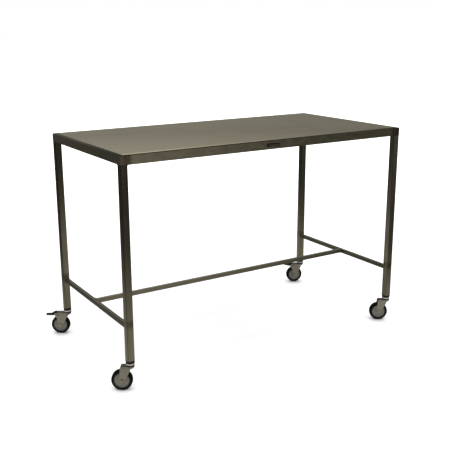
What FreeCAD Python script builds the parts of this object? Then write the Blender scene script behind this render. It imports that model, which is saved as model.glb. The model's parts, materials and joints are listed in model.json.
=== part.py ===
"""Stainless work table on four swivel casters, as a parametric document, in millimetres.

The origin is on the floor under the centre of the table top: +X runs along the length, the front
faces -Y and +Z is up.  Each caster is drawn in a frame of its own, whose origin is on the floor
under the swivel axis and whose +X is the way the wheel trails, and is then turned and moved to
its leg.
"""
import FreeCAD, Part
import math
import os

import Sketcher

DIMENSIONS = {
    # Table frame
    "table_length": 1219.2,
    "table_width": 618.0,
    "frame_top": 820.5,
    "rail_depth": 31.75,
    "leg_size": 25.4,
    "tube_wall": 1.5,
    "tube_corner": 2.0,
    "leg_foot": 109.5,
    # Top sheet and the stiffener under it
    "sheet_thickness": 1.5,
    "sheet_inset": 12.0,
    "sheet_corner": 4.0,
    "hat_depth": 24.0,
    "hat_web": 50.0,
    "hat_flange": 20.0,
    # Slim brace tubes low on the legs
    "brace_size": 15.875,
    "brace_wall": 1.2,
    "brace_corner": 1.6,
    "brace_height": 230.9,
    # Blank plate on the front rail
    "plate_length": 55.0,
    "plate_height": 12.0,
    "plate_thickness": 0.8,
    "plate_offset": -11.0,
    # Leg insert and the parts fixed in it
    "insert_flange": 4.5,
    "insert_clearance": 0.1,
    "insert_plug": 30.0,
    "stem_radius": 5.5,
    "stem_top": 150.0,
    "stem_bore_clearance": 0.05,
    "kingpin_radius": 4.0,
    "kingpin_head_radius": 7.0,
    "kingpin_head_top": 86.0,
    "kingpin_head_bottom": 82.0,
    "swivel_radius": 15.5,
    "race_bottom": 95.2,
    "race_ceiling": 97.4,
    "race_skirt": 2.2,
    "ball_circle": 10.0,
    "ball_height": 97.0,
    "ball_radius": 1.5,
    "groove_radius": 1.8,
    # Fork
    "fork_width": 29.0,
    "fork_gap": 25.0,
    "crown_top": 91.5,
    "crown_underside": 89.0,
    "swivel_bottom": 79.5,
    "swivel_round": 10.0,
    "counterbore_radius": 8.0,
    "counterbore_top": 87.0,
    "raceway_radius": 12.6,
    "raceway_top": 96.2,
    "kingpin_clearance": 0.08,
    "shoulder_outer": 7.0,
    "shoulder_inner": 4.6,
    "fork_boss": 10.0,
    "plate_round": 5.0,
    "fork_trail_top": 31.0,
    "fork_trail_side": 33.5,
    "brake_crown_end": 40.0,
    "brake_trail_top": 50.0,
    # Wheel
    "trail": 29.7,
    "wheel_radius": 37.5,
    "tyre_width": 21.0,
    "tyre_inner": 24.0,
    "tyre_shoulder": 4.0,
    "core_width": 18.0,
    "hub_radius": 9.0,
    "hub_width": 23.8,
    "dish_depth": 2.0,
    "dish_radius": 21.0,
    "sleeve_radius": 5.0,
    "sleeve_clearance": 0.05,
    "axle_radius": 3.0,
    "axle_hole_clearance": 0.05,
    "bolt_head_radius": 5.8,
    "bolt_head_height": 4.0,
    "nut_height": 5.0,
    "bolt_tail": 2.0,
    # Brake on the two rear casters
    "pivot_trail": 37.0,
    "pivot_height": 81.0,
    "pivot_radius": 2.0,
    "pivot_head_radius": 3.5,
    "pivot_head_height": 1.2,
    "pivot_clearance": 0.06,
    "lever_width": 18.0,
    "cover_width": 20.0,
    "cover_round": 1.6,
    # Way each caster trails, in degrees from +X
    "front_left_turn": 146.4,
    "rear_left_turn": 144.9,
    "rear_right_turn": 157.1,
    "front_right_turn": 146.1,
    # How far each brake pedal stands above its half-way place, in degrees
    "rear_left_lift": 0.0,
    "rear_right_lift": 14.0,
}

# Each caster: its name, the corner of the table it stands at, and whether it has a brake.
CASTERS = (
    ("front_left", -1, -1, False),
    ("rear_left", -1, 1, True),
    ("rear_right", 1, 1, True),
    ("front_right", 1, -1, False),
)

BALLS_PER_RACE = 14

# Side views of the pieces drawn by hand, as expressions (trailing distance, height).
FORK_OUTLINE = (
    ("dims.fork_trail_top", "dims.crown_top"),
    ("dims.fork_trail_side", "88"),
    ("dims.trail + dims.fork_boss - 0.1", "dims.wheel_radius + 1"),
    ("dims.trail", "dims.wheel_radius"),
    ("dims.trail - 8.2", "dims.wheel_radius - 5.7"),
    ("-2", "dims.swivel_bottom - 1"),
    ("3", "88"),
    ("12", "dims.crown_top"),
)
BRAKE_FORK_OUTLINE = (
    ("dims.brake_trail_top", "dims.crown_top"),
    ("dims.brake_trail_top + 1.5", "84"),
    ("48", "75"),
    ("40.2", "64"),
    ("dims.trail + dims.fork_boss - 0.1", "dims.wheel_radius + 1"),
    ("dims.trail", "dims.wheel_radius"),
    ("dims.trail - 8.2", "dims.wheel_radius - 5.7"),
    ("-2", "dims.swivel_bottom - 1"),
    ("3", "88"),
    ("12", "dims.crown_top"),
)
WHEEL_SPACE = (
    ("-20", "dims.crown_underside"),
    ("60", "dims.crown_underside"),
    ("60", "10"),
    ("-20", "10"),
)
PEDAL_SPACE = (
    ("dims.brake_crown_end", "dims.crown_underside - 5"),
    ("60", "dims.crown_underside - 5"),
    ("60", "100"),
    ("dims.brake_crown_end", "100"),
)
LEVER_OUTLINE = (
    ("34", "85"),
    ("45", "84"),
    ("54", "80"),
    ("67", "79"),
    ("72", "80.2"),
    ("72", "77.4"),
    ("67", "76.2"),
    ("53", "77"),
    ("46.5", "74.1"),
    ("43", "75.5"),
    ("40", "77"),
    ("34", "77.2"),
)
COVER_OUTLINE = (
    ("45", "84"),
    ("45.5", "89.5"),
    ("48", "91.6"),
    ("52", "91.6"),
    ("56", "89.2"),
    ("60", "87.2"),
    ("64.5", "83.6"),
    ("69", "81.6"),
    ("86", "81.2"),
    ("88", "80.4"),
    ("88", "78.8"),
    ("86", "78"),
    ("74", "76.8"),
    ("72", "77.4"),
    ("72", "80.2"),
    ("67", "79"),
    ("54", "80"),
)


def make_sheet(document):
    """The spreadsheet of driving dimensions, one alias to a row."""
    sheet = document.addObject("Spreadsheet::Sheet", "dims")
    for row, (alias, size) in enumerate(DIMENSIONS.items(), start=1):
        sheet.set(f"A{row}", alias)
        sheet.set(f"B{row}", str(size))
        sheet.setAlias(f"B{row}", alias)
    document.recompute()
    return sheet


doc = FreeCAD.newDocument("work_table")
dims = make_sheet(doc)
NODES = []


def value(expression):
    """An expression's value, as a plain number."""
    result = dims.evalExpression(str(expression))
    return float(getattr(result, "Value", result))


def make_body(label):
    """An empty body that will be written as one node."""
    body = doc.addObject("PartDesign::Body", label)
    body.Label = label
    NODES.append(body)
    return body


def make_sketch(body, role):
    """An empty sketch on one of the body's own origin planes."""
    sketch = body.newObject("Sketcher::SketchObject", body.Name + "_sketch")
    plane = next(item for item in body.Origin.OriginFeatures if item.Role == role)
    sketch.AttachmentSupport = [(plane, "")]
    sketch.MapMode = "FlatFace"
    return sketch


def pin_point(sketch, line, across, up):
    """Hold the start of a line at a place given by two expressions."""
    for kind, expression, axis in (("DistanceX", across, -2), ("DistanceY", up, -1)):
        size = value(expression)
        if abs(size) < 1e-6:
            sketch.addConstraint(Sketcher.Constraint("PointOnObject", line, 1, axis))
            continue
        index = sketch.addConstraint(Sketcher.Constraint(kind, -1, 1, line, 1, size))
        sketch.setExpression(f"Constraints[{index}]", str(expression))


def add_outline(sketch, points):
    """A closed outline of straight lines whose corners are bound to expressions."""
    first = sketch.GeometryCount
    places = [FreeCAD.Vector(value(across), value(up), 0) for across, up in points]
    ends = places[1:] + places[:1]
    for start, end in zip(places, ends):
        sketch.addGeometry(Part.LineSegment(start, end))
    count = len(points)
    for step in range(count):
        following = first + (step + 1) % count
        sketch.addConstraint(Sketcher.Constraint("Coincident", first + step, 2, following, 1))
    for step, (across, up) in enumerate(points):
        pin_point(sketch, first + step, across, up)


def add_rectangle(sketch, width, depth):
    """A rectangle about the sketch's origin."""
    half_width, half_depth = f"({width}) / 2", f"({depth}) / 2"
    corners = (
        (f"-{half_width}", f"-{half_depth}"),
        (half_width, f"-{half_depth}"),
        (half_width, half_depth),
        (f"-{half_width}", half_depth),
    )
    add_outline(sketch, corners)


def add_circle(sketch, radius, across="0", up="0"):
    """A circle whose radius and centre are bound to expressions."""
    centre = FreeCAD.Vector(value(across), value(up), 0)
    circle = Part.Circle(centre, FreeCAD.Vector(0, 0, 1), value(radius))
    index = sketch.addGeometry(circle)
    size = sketch.addConstraint(Sketcher.Constraint("Radius", index, value(radius)))
    sketch.setExpression(f"Constraints[{size}]", str(radius))
    for kind, expression, axis in (("DistanceX", across, -2), ("DistanceY", up, -1)):
        distance = value(expression)
        if abs(distance) < 1e-6:
            sketch.addConstraint(Sketcher.Constraint("PointOnObject", index, 3, axis))
            continue
        place = sketch.addConstraint(Sketcher.Constraint(kind, -1, 1, index, 3, distance))
        sketch.setExpression(f"Constraints[{place}]", str(expression))


def add_hexagon(sketch, radius, across, up):
    """A regular hexagon about a centre, one corner pointing up."""
    half_flat = f"({radius}) * 0.8660254"
    corners = (
        (across, f"{up} + {radius}"),
        (f"{across} + {half_flat}", f"{up} + ({radius}) / 2"),
        (f"{across} + {half_flat}", f"{up} - ({radius}) / 2"),
        (across, f"{up} - {radius}"),
        (f"{across} - {half_flat}", f"{up} - ({radius}) / 2"),
        (f"{across} - {half_flat}", f"{up} + ({radius}) / 2"),
    )
    add_outline(sketch, corners)


def pad(body, sketch, length, offset="0", symmetric=False):
    """Extrude a sketch along its normal, or to both sides of it."""
    if value(offset):
        sketch.setExpression("AttachmentOffset.Base.z", offset)
    feature = body.newObject("PartDesign::Pad", body.Name + "_pad")
    feature.Profile = sketch
    feature.setExpression("Length", length)
    feature.SideType = "Symmetric" if symmetric else "One side"
    sketch.Visibility = False
    return feature


def pocket(body, sketch, length=None):
    """Cut a sketch out of the body, to both sides of its plane."""
    feature = body.newObject("PartDesign::Pocket", body.Name + "_pocket")
    feature.Profile = sketch
    feature.SideType = "Symmetric"
    if length is None:
        feature.Type = "ThroughAll"
    else:
        feature.setExpression("Length", length)
    return feature


def turned(body, sketch, kind="PartDesign::Revolution"):
    """Revolve a half section a full turn about the sketch's vertical axis."""
    feature = body.newObject(kind, body.Name + "_turned")
    feature.Profile = sketch
    feature.ReferenceAxis = (sketch, ["V_Axis"])
    feature.Angle = 360
    return feature


def round_edges(body, wanted, radius):
    """Fillet the edges of the body so far that a test picks."""
    doc.recompute()
    base = body.Tip
    names = [f"Edge{n}" for n, edge in enumerate(base.Shape.Edges, start=1) if wanted(edge)]
    feature = body.newObject("PartDesign::Fillet", body.Name + "_round")
    feature.Base = (base, names)
    feature.setExpression("Radius", radius)
    return feature


def along(edge, axis):
    """Whether a straight edge runs along one of the axes X, Y or Z, numbered 0 to 2."""
    if not isinstance(edge.Curve, Part.Line):
        return False
    return abs(edge.tangentAt(edge.FirstParameter)[axis]) > 0.9999


def place(body, across="0", along_width="0", height="0", turn="0"):
    """Bind a body's place and its turn about Z to expressions."""
    body.Placement = FreeCAD.Placement(
        FreeCAD.Vector(0, 0, 0), FreeCAD.Rotation(FreeCAD.Vector(0, 0, 1), 1)
    )
    body.setExpression("Placement.Base.x", across)
    body.setExpression("Placement.Base.y", along_width)
    body.setExpression("Placement.Base.z", height)
    body.setExpression("Placement.Rotation.Angle", turn)


# ---------------------------------------------------------------- table frame


def square_tube(label, plane, size, wall, corner, length, depth=None):
    """A hollow tube with rounded corners, centred on its own middle, normal to a plane."""
    body = make_body(label)
    sketch = make_sketch(body, plane)
    depth = depth or size
    add_rectangle(sketch, size, depth)
    pad(body, sketch, length, symmetric=True)
    axis = {"YZ_Plane": 0, "XZ_Plane": 1, "XY_Plane": 2}[plane]
    round_edges(body, lambda edge: along(edge, axis), corner)
    bore = make_sketch(body, plane)
    add_rectangle(bore, f"{size} - 2 * {wall}", f"{depth} - 2 * {wall}")
    pocket(body, bore)
    return body


def mitre_ends(body, length, width, inner_side):
    """Cut both ends of a rail at 45 degrees, the short side of the rail being the inner one."""
    spare = 5
    for end in (-1, 1):
        sketch = make_sketch(body, "XY_Plane")
        tip = f"{end} * ({length}) / 2"
        beyond = f"{tip} + {end * spare}"
        inner = f"{inner_side} * (({width}) / 2 + {spare})"
        outer = f"{-inner_side} * ({width}) / 2"
        short = f"{tip} - {end} * (({width}) + {spare})"
        add_outline(sketch, ((tip, outer), (beyond, outer), (beyond, inner), (short, inner)))
        pocket(body, sketch)


def frame_rail(label, along_length, side):
    """One rail of the mitred frame, its outer face flush with the legs."""
    length = "dims.table_length" if along_length else "dims.table_width"
    body = square_tube(
        label,
        "YZ_Plane",
        "dims.leg_size",
        "dims.tube_wall",
        "dims.tube_corner",
        length,
        "dims.rail_depth",
    )
    mitre_ends(body, length, "dims.leg_size", -side)
    height = "dims.frame_top - dims.rail_depth / 2"
    if along_length:
        place(body, "0", f"{side} * (dims.table_width - dims.leg_size) / 2", height)
    else:
        across = f"{-side} * (dims.table_length - dims.leg_size) / 2"
        place(body, across, "0", height, "90")


def top_sheet():
    """The flat top sheet, laid on the frame a little way in from its outer faces."""
    body = make_body("top_sheet")
    sketch = make_sketch(body, "XY_Plane")
    add_rectangle(
        sketch,
        "dims.table_length - 2 * dims.sheet_inset",
        "dims.table_width - 2 * dims.sheet_inset",
    )
    pad(body, sketch, "dims.sheet_thickness")
    round_edges(body, lambda edge: along(edge, 2), "dims.sheet_corner")
    place(body, height="dims.frame_top")


def top_stiffener():
    """A hat channel under the sheet, between the two end rails of the frame."""
    body = make_body("top_stiffener")
    sketch = make_sketch(body, "YZ_Plane")
    wall = "dims.tube_wall"
    brim = "(dims.hat_web / 2 + dims.hat_flange)"
    crown = "dims.hat_web / 2"
    drop = "-dims.hat_depth"
    add_outline(
        sketch,
        (
            (f"-{brim}", "0"),
            (f"-{crown} + {wall}", "0"),
            (f"-{crown} + {wall}", f"{drop} + {wall}"),
            (f"{crown} - {wall}", f"{drop} + {wall}"),
            (f"{crown} - {wall}", "0"),
            (brim, "0"),
            (brim, f"-{wall}"),
            (crown, f"-{wall}"),
            (crown, drop),
            (f"-{crown}", drop),
            (f"-{crown}", f"-{wall}"),
            (f"-{brim}", f"-{wall}"),
        ),
    )
    pad(body, sketch, "dims.table_length - 2 * dims.leg_size", symmetric=True)
    place(body, height="dims.frame_top")


def leg(name, side_x, side_y):
    """One leg, from its foot up to the underside of the frame."""
    length = "dims.frame_top - dims.rail_depth - dims.leg_foot"
    body = square_tube(
        f"leg_{name}",
        "XY_Plane",
        "dims.leg_size",
        "dims.tube_wall",
        "dims.tube_corner",
        length,
    )
    place(
        body,
        f"{side_x} * (dims.table_length - dims.leg_size) / 2",
        f"{side_y} * (dims.table_width - dims.leg_size) / 2",
        f"dims.leg_foot + ({length}) / 2",
    )


def end_brace(label, side):
    """A slim tube between the front and rear legs of one end."""
    body = square_tube(
        label,
        "XZ_Plane",
        "dims.brace_size",
        "dims.brace_wall",
        "dims.brace_corner",
        "dims.table_width - 2 * dims.leg_size",
    )
    across = f"{side} * (dims.table_length - dims.leg_size) / 2"
    place(body, across, height="dims.brace_height")


def long_stretcher():
    """The slim tube that joins the middles of the two end braces."""
    body = square_tube(
        "long_stretcher",
        "YZ_Plane",
        "dims.brace_size",
        "dims.brace_wall",
        "dims.brace_corner",
        "dims.table_length - dims.leg_size - dims.brace_size",
    )
    place(body, height="dims.brace_height")


def blank_plate():
    """The small blank plate on the front rail."""
    body = make_body("blank_plate")
    sketch = make_sketch(body, "XZ_Plane")
    add_rectangle(sketch, "dims.plate_length", "dims.plate_height")
    pad(body, sketch, "dims.plate_thickness")
    round_edges(body, lambda edge: along(edge, 1), "dims.plate_thickness")
    height = "dims.frame_top - dims.rail_depth / 2"
    place(body, "dims.plate_offset", "-dims.table_width / 2", height)


# ------------------------------------------------------------------- casters


def at_leg(body, name, side_x, side_y):
    """Move a caster's piece to its leg and turn it the way the wheel trails."""
    place(
        body,
        f"{side_x} * (dims.table_length - dims.leg_size) / 2",
        f"{side_y} * (dims.table_width - dims.leg_size) / 2",
        turn=f"dims.{name}_turn",
    )


def fork_frame(name, side_x, side_y):
    """A fork's own frame as a placement: under its leg, X the way the wheel trails."""
    centre_x = side_x * value("(dims.table_length - dims.leg_size) / 2")
    centre_y = side_y * value("(dims.table_width - dims.leg_size) / 2")
    trail_turn = FreeCAD.Rotation(FreeCAD.Vector(0, 0, 1), value(f"dims.{name}_turn"))
    return FreeCAD.Placement(FreeCAD.Vector(centre_x, centre_y, 0), trail_turn)


def at_pivot(body, name, side_x, side_y):
    """Lift a piece of the brake about its pivot, and move it to its leg."""
    pivot = FreeCAD.Vector(value("dims.pivot_trail"), 0, value("dims.pivot_height"))
    lifted = FreeCAD.Rotation(FreeCAD.Vector(0, 1, 0), -value(f"dims.{name}_lift"))
    lift = FreeCAD.Placement(FreeCAD.Vector(0, 0, 0), lifted, pivot)
    body.Placement = fork_frame(name, side_x, side_y) * lift


def leg_insert(name, side_x, side_y):
    """The black square insert in the foot of a leg, with a bore for the caster's stem."""
    body = make_body(f"insert_{name}")
    flange = make_sketch(body, "XY_Plane")
    add_rectangle(flange, "dims.leg_size", "dims.leg_size")
    pad(body, flange, "dims.insert_flange", "dims.leg_foot - dims.insert_flange")
    plug = make_sketch(body, "XY_Plane")
    bore_size = "dims.leg_size - 2 * dims.tube_wall - 2 * dims.insert_clearance"
    add_rectangle(plug, bore_size, bore_size)
    pad(body, plug, "dims.insert_plug", "dims.leg_foot")
    round_edges(body, lambda edge: along(edge, 2), "dims.tube_corner")
    bore = make_sketch(body, "XY_Plane")
    add_circle(bore, "dims.stem_radius + dims.stem_bore_clearance")
    pocket(body, bore)
    place(
        body,
        f"{side_x} * (dims.table_length - dims.leg_size) / 2",
        f"{side_y} * (dims.table_width - dims.leg_size) / 2",
    )


def stem(name, side_x, side_y):
    """The stem, its kingpin below the leg, and the riveted head that holds the fork up."""
    body = make_body(f"stem_{name}")
    sketch = make_sketch(body, "XZ_Plane")
    flange_bottom = "dims.leg_foot - dims.insert_flange"
    add_outline(
        sketch,
        (
            ("0", "dims.kingpin_head_bottom"),
            ("dims.kingpin_head_radius - 1", "dims.kingpin_head_bottom"),
            ("dims.kingpin_head_radius", "dims.kingpin_head_bottom + 1"),
            ("dims.kingpin_head_radius", "dims.kingpin_head_top"),
            ("dims.kingpin_radius", "dims.kingpin_head_top"),
            ("dims.kingpin_radius", flange_bottom),
            ("dims.stem_radius", flange_bottom),
            ("dims.stem_radius", "dims.stem_top - 2"),
            ("dims.stem_radius - 2", "dims.stem_top"),
            ("0", "dims.stem_top"),
        ),
    )
    turned(body, sketch)
    at_leg(body, name, side_x, side_y)


def upper_race(name, side_x, side_y):
    """The domed cup fixed on the stem, with the upper ball track on its underside."""
    body = make_body(f"upper_race_{name}")
    sketch = make_sketch(body, "XZ_Plane")
    top = "dims.leg_foot - dims.insert_flange"
    add_outline(
        sketch,
        (
            ("dims.kingpin_radius", "dims.race_ceiling"),
            ("dims.kingpin_radius", top),
            ("dims.swivel_radius", top),
            ("dims.swivel_radius", "dims.race_bottom"),
            ("dims.swivel_radius - dims.race_skirt", "dims.race_bottom"),
            ("dims.swivel_radius - dims.race_skirt", "dims.race_ceiling"),
        ),
    )
    turned(body, sketch)
    cut_track(body)
    crest = value(top) - 0.01
    rim = value("dims.swivel_radius")
    round_edges(body, lambda edge: is_ring(edge, rim, crest, crest + 1), "dims.race_skirt * 2")
    at_leg(body, name, side_x, side_y)


def cut_track(body):
    """The round groove that the swivel's balls run in."""
    track = make_sketch(body, "XZ_Plane")
    add_circle(track, "dims.groove_radius", "dims.ball_circle", "dims.ball_height")
    turned(body, track, "PartDesign::Groove")


def is_ring(edge, radius, lowest, highest):
    """Whether an edge is a level circle of a given radius within a band of height."""
    if not isinstance(edge.Curve, Part.Circle):
        return False
    height = edge.Curve.Center.z
    return abs(edge.Curve.Radius - radius) < 1e-3 and lowest <= height <= highest


def swivel_balls():
    """The balls of all four swivels, each a solid of its own."""
    node = doc.addObject("Part::Feature", "swivel_balls")
    balls = []
    for name, side_x, side_y, _ in CASTERS:
        centre_x = side_x * value("(dims.table_length - dims.leg_size) / 2")
        centre_y = side_y * value("(dims.table_width - dims.leg_size) / 2")
        for step in range(BALLS_PER_RACE):
            angle = 2 * math.pi * step / BALLS_PER_RACE
            reach = value("dims.ball_circle")
            spot = FreeCAD.Vector(
                centre_x + reach * math.cos(angle),
                centre_y + reach * math.sin(angle),
                value("dims.ball_height"),
            )
            balls.append(Part.makeSphere(value("dims.ball_radius"), spot))
    node.Shape = Part.makeCompound(balls)
    node.Label = "swivel_balls"
    NODES.append(node)


def fork(name, side_x, side_y, brake):
    """The pressed fork: two side plates, a crown between them and the round swivel head."""
    body = make_body(f"fork_{name}")
    side_view = make_sketch(body, "XZ_Plane")
    add_outline(side_view, BRAKE_FORK_OUTLINE if brake else FORK_OUTLINE)
    pad(body, side_view, "dims.fork_width", symmetric=True)
    round_edges(body, is_plate_corner, "dims.plate_round")
    shoulder = value("dims.crown_top")
    half = value("dims.fork_width / 2")
    round_edges(body, lambda edge: is_shoulder(edge, half, shoulder), "dims.shoulder_outer")
    boss = make_sketch(body, "XZ_Plane")
    add_circle(boss, "dims.fork_boss", "dims.trail", "dims.wheel_radius")
    pad(body, boss, "dims.fork_width", symmetric=True)
    space = make_sketch(body, "XZ_Plane")
    add_outline(space, WHEEL_SPACE)
    pocket(body, space, "dims.fork_gap")
    ceiling = value("dims.crown_underside")
    gap = value("dims.fork_gap / 2")
    round_edges(body, lambda edge: is_shoulder(edge, gap, ceiling), "dims.shoulder_inner")
    if brake:
        opening = make_sketch(body, "XZ_Plane")
        add_outline(opening, PEDAL_SPACE)
        pocket(body, opening, "dims.fork_gap")
    swivel_head(body)
    axle_hole = make_sketch(body, "XZ_Plane")
    clearance = "dims.axle_radius + dims.axle_hole_clearance"
    add_circle(axle_hole, clearance, "dims.trail", "dims.wheel_radius")
    pocket(body, axle_hole)
    if brake:
        pin_hole = make_sketch(body, "XZ_Plane")
        add_circle(pin_hole, "dims.pivot_radius", "dims.pivot_trail", "dims.pivot_height")
        pocket(body, pin_hole)
    at_leg(body, name, side_x, side_y)


def is_plate_corner(edge):
    """Whether an edge is a corner of the plates' outline beside the swivel head."""
    return along(edge, 1) and edge.CenterOfMass.x < 5


def is_shoulder(edge, half_width, height):
    """Whether an edge runs along the trail at the given half width and height."""
    if not along(edge, 0):
        return False
    centre = edge.CenterOfMass
    return abs(abs(centre.y) - half_width) < 1e-3 and abs(centre.z - height) < 1e-3


def bowl_section(sketch):
    """Half the swivel head's section: flat on top, its lower rim rounded to a bowl."""
    radius, rounding = "dims.swivel_radius", "dims.swivel_round"
    top, bottom = "dims.crown_top", "dims.swivel_bottom"
    corners = (
        ("0", bottom),
        ("0", top),
        (radius, top),
        (radius, f"{bottom} + {rounding}"),
    )
    foot = (f"{radius} - {rounding}", bottom)
    places = [FreeCAD.Vector(value(across), value(up), 0) for across, up in corners]
    foot_place = FreeCAD.Vector(value(foot[0]), value(foot[1]), 0)
    centre = FreeCAD.Vector(foot_place.x, places[3].y, 0)
    for start, end in zip(places, places[1:]):
        sketch.addGeometry(Part.LineSegment(start, end))
    curve = Part.Circle(centre, FreeCAD.Vector(0, 0, 1), value(rounding))
    arc = sketch.addGeometry(Part.ArcOfCircle(curve, -math.pi / 2, 0))
    base = sketch.addGeometry(Part.LineSegment(foot_place, places[0]))
    for line in range(2):
        sketch.addConstraint(Sketcher.Constraint("Coincident", line, 2, line + 1, 1))
    sketch.addConstraint(Sketcher.Constraint("Tangent", 2, 2, arc, 2))
    sketch.addConstraint(Sketcher.Constraint("Coincident", arc, 1, base, 1))
    sketch.addConstraint(Sketcher.Constraint("Coincident", base, 2, 0, 1))
    for line, (across, up) in enumerate(corners[:3]):
        pin_point(sketch, line, across, up)
    pin_point(sketch, base, *foot)
    rim = sketch.addConstraint(Sketcher.Constraint("DistanceX", -1, 1, arc, 2, places[3].x))
    sketch.setExpression(f"Constraints[{rim}]", radius)
    curved = sketch.addConstraint(Sketcher.Constraint("Radius", arc, value(rounding)))
    sketch.setExpression(f"Constraints[{curved}]", rounding)


def swivel_head(body):
    """The round head of a fork, with the lower ball track and the kingpin's hole."""
    bowl = make_sketch(body, "XZ_Plane")
    bowl_section(bowl)
    turned(body, bowl)
    raceway = make_sketch(body, "XY_Plane")
    add_circle(raceway, "dims.raceway_radius")
    pad(body, raceway, "dims.raceway_top - dims.crown_top + 1", "dims.crown_top - 1")
    cut_track(body)
    hole = make_sketch(body, "XZ_Plane")
    shaft = "dims.kingpin_radius + dims.kingpin_clearance"
    add_outline(
        hole,
        (
            ("0", "dims.raceway_top + 1"),
            (shaft, "dims.raceway_top + 1"),
            (shaft, "dims.counterbore_top"),
            ("dims.counterbore_radius", "dims.counterbore_top"),
            ("dims.counterbore_radius", "dims.swivel_bottom - 1"),
            ("0", "dims.swivel_bottom - 1"),
        ),
    )
    turned(body, hole, "PartDesign::Groove")


def about_axle(body, name, side_x, side_y):
    """Lay a piece that was drawn about its own Z along the wheel's axle, and move it to its leg."""
    lay_down = FreeCAD.Rotation(FreeCAD.Vector(1, 0, 0), -90)
    centre = FreeCAD.Vector(value("dims.trail"), 0, value("dims.wheel_radius"))
    body.Placement = fork_frame(name, side_x, side_y) * FreeCAD.Placement(centre, lay_down)


def wheel_core(name, side_x, side_y):
    """The grey wheel centre: a rim, two dished discs and the hub."""
    body = make_body(f"wheel_core_{name}")
    sketch = make_sketch(body, "XZ_Plane")
    bore = "dims.sleeve_radius + dims.sleeve_clearance"
    face = "dims.core_width / 2"
    dish = "(dims.core_width / 2 - dims.dish_depth)"
    boss = "dims.hub_width / 2"
    half = (
        (bore, boss),
        ("dims.hub_radius", boss),
        ("dims.hub_radius + 1", dish),
        ("dims.dish_radius - 1", dish),
        ("dims.dish_radius", face),
        ("dims.tyre_inner", face),
    )
    mirrored = tuple((across, f"-({up})") for across, up in reversed(half))
    add_outline(sketch, half + mirrored)
    turned(body, sketch)
    about_axle(body, name, side_x, side_y)


def tyre(name, side_x, side_y):
    """The black tyre, bonded on the core."""
    body = make_body(f"tyre_{name}")
    sketch = make_sketch(body, "XZ_Plane")
    half = "dims.tyre_width / 2"
    add_outline(
        sketch,
        (
            ("dims.tyre_inner", f"-{half} + 1"),
            ("dims.tyre_inner", f"{half} - 1"),
            ("dims.tyre_inner + 1", half),
            ("dims.wheel_radius", half),
            ("dims.wheel_radius", f"-{half}"),
            ("dims.tyre_inner + 1", f"-{half}"),
        ),
    )
    turned(body, sketch)
    tread = value("dims.wheel_radius")
    reach = value(half) + 1
    round_edges(body, lambda edge: is_ring(edge, tread, -reach, reach), "dims.tyre_shoulder")
    about_axle(body, name, side_x, side_y)


def axle_sleeve(name, side_x, side_y):
    """The steel sleeve clamped between the fork's plates, which the wheel turns on."""
    body = make_body(f"axle_sleeve_{name}")
    sketch = make_sketch(body, "XY_Plane")
    add_circle(sketch, "dims.sleeve_radius")
    add_circle(sketch, "dims.axle_radius + dims.axle_hole_clearance")
    pad(body, sketch, "dims.fork_gap", symmetric=True)
    about_axle(body, name, side_x, side_y)


def axle_bolt(name, side_x, side_y):
    """The axle bolt, its hexagon head on the side towards the table's front."""
    body = make_body(f"axle_bolt_{name}")
    shank = make_sketch(body, "XY_Plane")
    add_circle(shank, "dims.axle_radius")
    length = "dims.fork_width + dims.nut_height + dims.bolt_tail"
    pad(body, shank, length, "-dims.fork_width / 2 - dims.nut_height - dims.bolt_tail")
    head = make_sketch(body, "XY_Plane")
    add_hexagon(head, "dims.bolt_head_radius", "0", "0")
    pad(body, head, "dims.bolt_head_height", "dims.fork_width / 2")
    about_axle(body, name, side_x, side_y)


def axle_nut(name, side_x, side_y):
    """The hexagon nut on the side towards the table's rear."""
    body = make_body(f"axle_nut_{name}")
    sketch = make_sketch(body, "XY_Plane")
    add_hexagon(sketch, "dims.bolt_head_radius", "0", "0")
    add_circle(sketch, "dims.axle_radius")
    pad(body, sketch, "dims.nut_height", "-dims.fork_width / 2 - dims.nut_height")
    about_axle(body, name, side_x, side_y)


def brake_lever(name, side_x, side_y):
    """The steel brake lever between the fork's plates, with the nose that grips the tyre."""
    body = make_body(f"brake_lever_{name}")
    side_view = make_sketch(body, "XZ_Plane")
    add_outline(side_view, LEVER_OUTLINE)
    pad(body, side_view, "dims.lever_width", symmetric=True)
    hole = make_sketch(body, "XZ_Plane")
    running = "dims.pivot_radius + dims.pivot_clearance"
    add_circle(hole, running, "dims.pivot_trail", "dims.pivot_height")
    pocket(body, hole)
    at_pivot(body, name, side_x, side_y)


def pedal_cover(name, side_x, side_y):
    """The black moulded foot pad on the end of the brake lever."""
    body = make_body(f"pedal_cover_{name}")
    side_view = make_sketch(body, "XZ_Plane")
    add_outline(side_view, COVER_OUTLINE)
    pad(body, side_view, "dims.cover_width", symmetric=True)
    at_pivot(body, name, side_x, side_y)


def brake_pivot(name, side_x, side_y):
    """The rivet that the brake lever turns on, headed outside both plates."""
    body = make_body(f"brake_pivot_{name}")
    shank = make_sketch(body, "XZ_Plane")
    add_circle(shank, "dims.pivot_radius", "dims.pivot_trail", "dims.pivot_height")
    pad(body, shank, "dims.fork_width", symmetric=True)
    for start in ("dims.fork_width / 2", "-dims.fork_width / 2 - dims.pivot_head_height"):
        head = make_sketch(body, "XZ_Plane")
        add_circle(head, "dims.pivot_head_radius", "dims.pivot_trail", "dims.pivot_height")
        pad(body, head, "dims.pivot_head_height", start)
    at_leg(body, name, side_x, side_y)


def caster(name, side_x, side_y, brake):
    """Every piece of one caster but its balls."""
    leg_insert(name, side_x, side_y)
    stem(name, side_x, side_y)
    upper_race(name, side_x, side_y)
    fork(name, side_x, side_y, brake)
    wheel_core(name, side_x, side_y)
    tyre(name, side_x, side_y)
    axle_sleeve(name, side_x, side_y)
    axle_bolt(name, side_x, side_y)
    axle_nut(name, side_x, side_y)
    if brake:
        brake_lever(name, side_x, side_y)
        pedal_cover(name, side_x, side_y)
        brake_pivot(name, side_x, side_y)


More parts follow.
